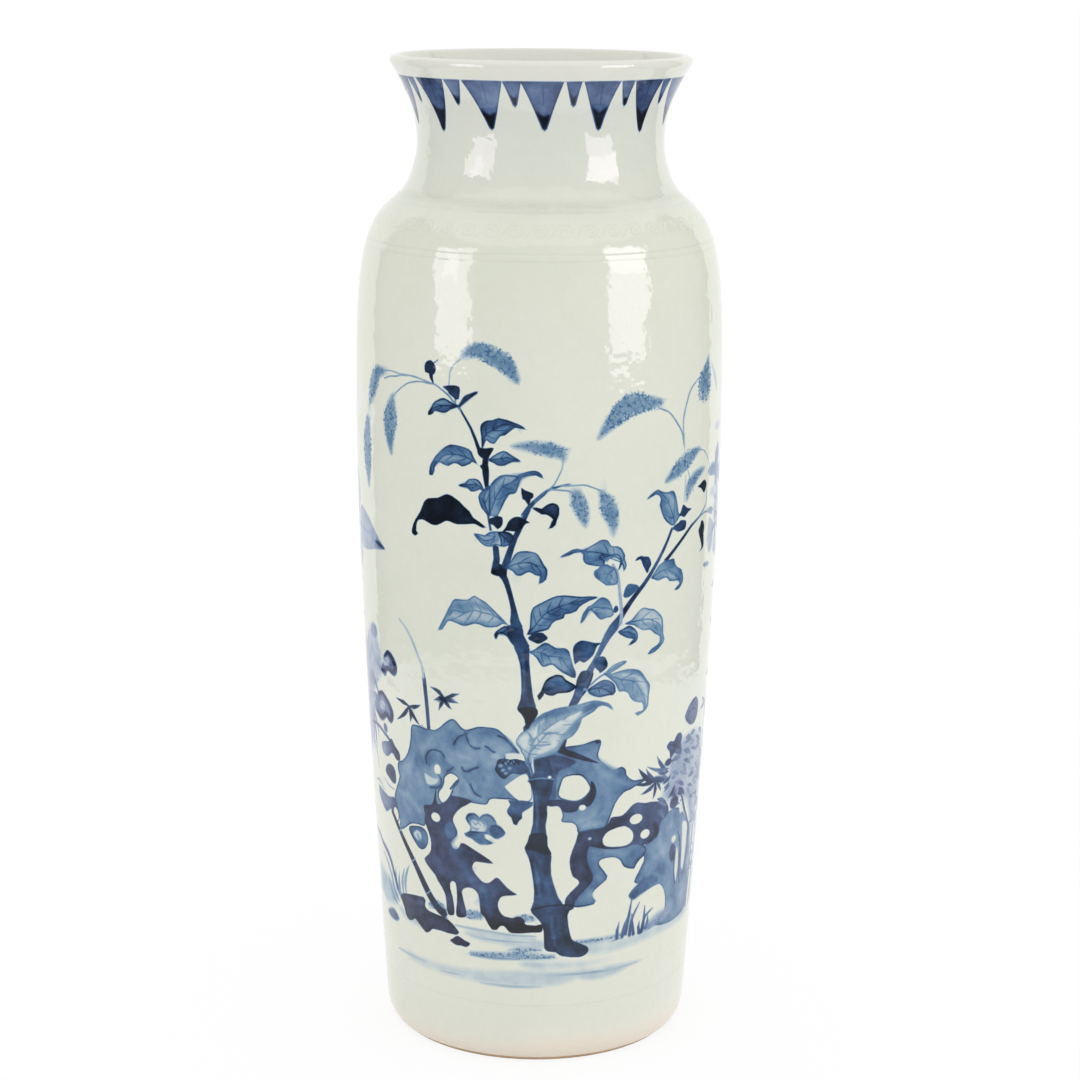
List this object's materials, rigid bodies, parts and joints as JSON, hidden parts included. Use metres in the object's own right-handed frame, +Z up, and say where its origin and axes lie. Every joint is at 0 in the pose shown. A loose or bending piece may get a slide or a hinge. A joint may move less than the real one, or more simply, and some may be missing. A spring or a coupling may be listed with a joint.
{
  "type": "sleeve vase",
  "caption": "Tall cylindrical porcelain vase with a rounded shoulder, short waisted neck and flared round lip, glazed inside and out, standing on a bare foot.",
  "frame": {"origin": "centre of the circle on which the foot stands, at table level", "axes": "+Z up along the vase's axis of turning; -Y faces the viewer of the reference view; +X to that viewer's right"},
  "size_m": [0.1702, 0.1702, 0.46],
  "materials": {
    "porcelain_clay": "bare fired clay, matt, buff",
    "luting_slip": "bare fired slip, matt",
    "clear_glaze": "glossy pale grey-green glaze with painted underglaze blue"
  },
  "bodies": {
    "root": {"base_and_foot": "porcelain_clay", "base_seam_slip": "luting_slip", "lower_body_section": "porcelain_clay", "belly_seam_slip": "luting_slip", "upper_body_section": "porcelain_clay", "neck_seam_slip": "luting_slip", "neck_and_lip": "porcelain_clay", "outside_glaze": "clear_glaze", "inside_glaze": "clear_glaze"}
  },
  "joints": []
}
